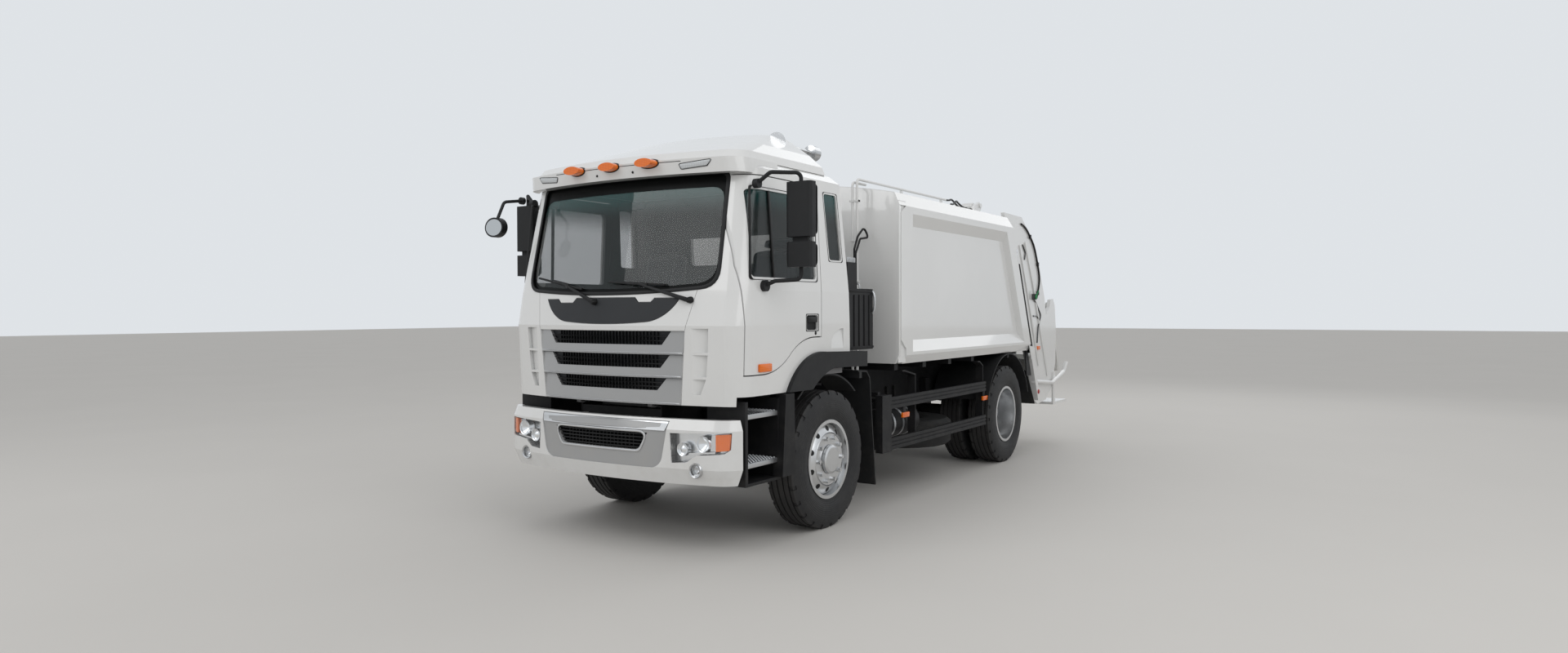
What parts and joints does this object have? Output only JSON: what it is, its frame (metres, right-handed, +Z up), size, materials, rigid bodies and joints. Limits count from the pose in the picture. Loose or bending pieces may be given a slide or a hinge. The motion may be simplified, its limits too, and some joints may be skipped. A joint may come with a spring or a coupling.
{
  "type": "rear-loading refuse truck",
  "caption": "Two-axle rear-loading refuse truck with tilting cab, hinged doors, steered front wheels, hollow body, lifting tailgate, packer and bin lifter.",
  "frame": {"origin": "on the ground, halfway along the truck and on its centre line", "axes": "+X to the truck's left, +Y to its rear, +Z up"},
  "size_m": [2.87, 7.37, 3.015],
  "materials": {
    "white_paint": "gloss",
    "chassis_black": "satin",
    "silver_paint": "satin",
    "dark_plastic": "textured",
    "tyre_rubber": "matte",
    "polished_alloy": "polished",
    "clear_glass": "clear",
    "lamp_lens": "clear",
    "amber_lens": "gloss",
    "chrome_plate": "polished",
    "seat_cloth": "woven",
    "cast_metal": "rough",
    "rod_steel": "polished"
  },
  "bodies": {
    "wheel_front_left": {"tyre_front_left": "tyre_rubber", "rim_front_left": "polished_alloy"},
    "wheel_front_right": {"tyre_front_right": "tyre_rubber", "rim_front_right": "polished_alloy"},
    "wheel_rear_left": {"tyres_rear_left": "tyre_rubber", "rims_rear_left": "polished_alloy"},
    "wheel_rear_right": {"tyres_rear_right": "tyre_rubber", "rims_rear_right": "polished_alloy"},
    "knuckle_body_left": {"knuckle_left": "cast_metal"},
    "knuckle_body_right": {"knuckle_right": "cast_metal"},
    "track_rod": {"tie_rod": "chassis_black"},
    "door_body_left": {"door_left": "white_paint", "door_glass_left": "clear_glass", "mirror_left": "dark_plastic"},
    "door_body_right": {"door_right": "white_paint", "door_glass_right": "clear_glass", "mirror_right": "dark_plastic"},
    "cab": {"cab_front": "white_paint", "cab_sides": "white_paint", "cab_rear_wall": "white_paint", "cab_floor": "white_paint", "cab_roof": "white_paint", "grille": "silver_paint", "windscreen": "clear_glass", "cab_glass": "clear_glass", "cab_interior": "seat_cloth", "arch_trims": "dark_plastic", "roof_lamps": "amber_lens", "air_horn": "chrome_plate", "front_mirror": "dark_plastic", "nose_panel": "dark_plastic"},
    "tailgate": {"tailgate_sides": "white_paint", "tailgate_cover": "white_paint", "tailgate_hopper": "white_paint"},
    "carriage": {"packer_slide": "white_paint"},
    "blade": {"packer_blade": "white_paint"},
    "lifter": {"bin_lifter": "white_paint"},
    "barrel_left": {"lift_barrel_left": "white_paint"},
    "rod_left": {"lift_rod_left": "rod_steel"},
    "barrel_right": {"lift_barrel_right": "white_paint"},
    "rod_right": {"lift_rod_right": "rod_steel"},
    "chassis": {"air_intake": "dark_plastic", "body_floor": "white_paint", "body_front_wall": "white_paint", "body_roof": "white_paint", "body_sides": "white_paint", "bumper_insert": "silver_paint", "drivetrain": "cast_metal", "entry_steps": "dark_plastic", "front_axle_beam": "cast_metal", "front_bumper": "white_paint", "headlamps": "lamp_lens", "ladder_frame": "chassis_black", "leaf_springs": "cast_metal", "mudguards": "dark_plastic", "rear_axle": "cast_metal", "side_guards": "chassis_black", "spare_wheel": "tyre_rubber", "tanks": "chassis_black", "tow_jaw": "chassis_black"}
  },
  "joints": [
    {"name": "cab_tilt", "type": "hinge", "parent": "chassis", "child": "cab", "pos_m": [0, -3.48, 1.02], "axis": [1, 0, 0], "range_deg": [0, 45]},
    {"name": "door_left_hinge", "type": "hinge", "parent": "cab", "child": "door_body_left", "pos_m": [1.095, -3.392, 1.9], "axis": [0, 0, -1], "range_deg": [0, 70]},
    {"name": "door_right_hinge", "type": "hinge", "parent": "cab", "child": "door_body_right", "pos_m": [-1.095, -3.392, 1.9], "axis": [0, 0, 1], "range_deg": [0, 70]},
    {"name": "steer_left", "type": "hinge", "parent": "chassis", "child": "knuckle_body_left", "pos_m": [0.815, -2.275, 0.525], "axis": [0, 0, 1], "range_deg": [-35, 35]},
    {"name": "steer_right", "type": "hinge", "parent": "chassis", "child": "knuckle_body_right", "pos_m": [-0.815, -2.275, 0.525], "axis": [0, 0, 1], "range_deg": [-35, 35]},
    {"name": "track_rod_shift", "type": "slide", "parent": "chassis", "child": "track_rod", "axis": [-1, 0, 0], "range_m": [-0.12, 0.12]},
    {"name": "spin_front_left", "type": "hinge", "parent": "knuckle_body_left", "child": "wheel_front_left", "pos_m": [0.95, -2.275, 0.525], "axis": [1, 0, 0], "continuous": true},
    {"name": "spin_front_right", "type": "hinge", "parent": "knuckle_body_right", "child": "wheel_front_right", "pos_m": [-0.95, -2.275, 0.525], "axis": [1, 0, 0], "continuous": true},
    {"name": "spin_rear_left", "type": "hinge", "parent": "chassis", "child": "wheel_rear_left", "pos_m": [0.8, 1.525, 0.525], "axis": [1, 0, 0], "continuous": true},
    {"name": "spin_rear_right", "type": "hinge", "parent": "chassis", "child": "wheel_rear_right", "pos_m": [-0.8, 1.525, 0.525], "axis": [1, 0, 0], "continuous": true},
    {"name": "tailgate_lift", "type": "hinge", "parent": "chassis", "child": "tailgate", "pos_m": [0, 1.42, 2.81], "axis": [1, 0, 0], "range_deg": [0, 85]},
    {"name": "carriage_slide", "type": "slide", "parent": "tailgate", "child": "carriage", "axis": [0, 0.4198, -0.9076], "range_m": [0, 0.6]},
    {"name": "blade_swing", "type": "hinge", "parent": "carriage", "child": "blade", "pos_m": [0, 2.33031, 1.82519], "axis": [1, 0, 0], "range_deg": [0, 77]},
    {"name": "lifter_swing", "type": "hinge", "parent": "tailgate", "child": "lifter", "pos_m": [0, 3.175, 1.705], "axis": [1, 0, 0], "range_deg": [0, 100]},
    {"name": "lift_barrel_left_swing", "type": "hinge", "parent": "chassis", "child": "barrel_left", "pos_m": [1.108, 2.24588, 1.1978], "axis": [1, 0, 0], "range_deg": [-16.89, 1]},
    {"name": "lift_rod_left_slide", "type": "slide", "parent": "barrel_left", "child": "rod_left", "axis": [0, -0.4198, 0.9076], "range_m": [-0.001, 0.6938]},
    {"name": "lift_barrel_right_swing", "type": "hinge", "parent": "chassis", "child": "barrel_right", "pos_m": [-1.108, 2.24588, 1.1978], "axis": [1, 0, 0], "range_deg": [-16.89, 1]},
    {"name": "lift_rod_right_slide", "type": "slide", "parent": "barrel_right", "child": "rod_right", "axis": [0, -0.4198, 0.9076], "range_m": [-0.001, 0.6938]}
  ],
  "couplings": [
    {"joint": "steer_right", "follows": "steer_left", "ratio": 1},
    {"joint": "track_rod_shift", "follows": "steer_left", "m_per_rad": 0.17},
    {"joint": "lift_barrel_left_swing", "follows": "tailgate_lift", "ratio": -0.18694},
    {"joint": "lift_rod_left_slide", "follows": "tailgate_lift", "m_per_rad": 0.46095},
    {"joint": "lift_barrel_right_swing", "follows": "tailgate_lift", "ratio": -0.18694},
    {"joint": "lift_rod_right_slide", "follows": "tailgate_lift", "m_per_rad": 0.46095}
  ]
}
